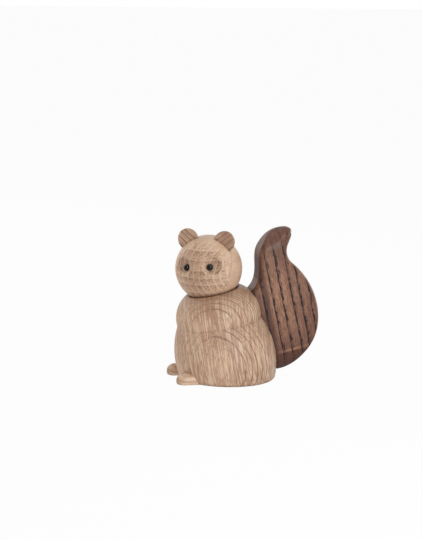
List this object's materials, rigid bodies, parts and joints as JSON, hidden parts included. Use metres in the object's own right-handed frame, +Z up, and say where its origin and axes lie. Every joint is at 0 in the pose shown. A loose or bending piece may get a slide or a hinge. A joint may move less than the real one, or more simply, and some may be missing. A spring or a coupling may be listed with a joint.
{
  "type": "squirrel figurine",
  "caption": "Sitting squirrel ornament of turned oak, with a ball head that turns in a dish, bead eyes, round ears and a dark S-shaped tail.",
  "frame": {"origin": "on the ground, where the leaning axes of the turned body start", "axes": "+Z up; the body faces -Y; its own left is +X; the tail is on +Y"},
  "size_m": [0.0604, 0.089, 0.0917],
  "materials": {
    "light_oak": "satin clear lacquer on light oak",
    "dark_oak": "satin clear lacquer on smoked oak",
    "black_bead": "polished black",
    "dowel_wood": "plain turned beech"
  },
  "bodies": {
    "torso": {"body": "light_oak", "tail": "dark_oak", "tail_dowel_upper": "dowel_wood", "tail_dowel_lower": "dowel_wood", "foot_left": "light_oak", "foot_right": "light_oak"},
    "head": {"head": "light_oak", "neck_dowel": "dowel_wood", "ear_left": "light_oak", "ear_right": "light_oak", "eye_left": "black_bead", "eye_right": "black_bead"}
  },
  "joints": [
    {"name": "head_turn", "type": "hinge", "parent": "torso", "child": "head", "pos_m": [0, -0.01505, 0.06734], "axis": [0, 0, 1], "continuous": true}
  ]
}
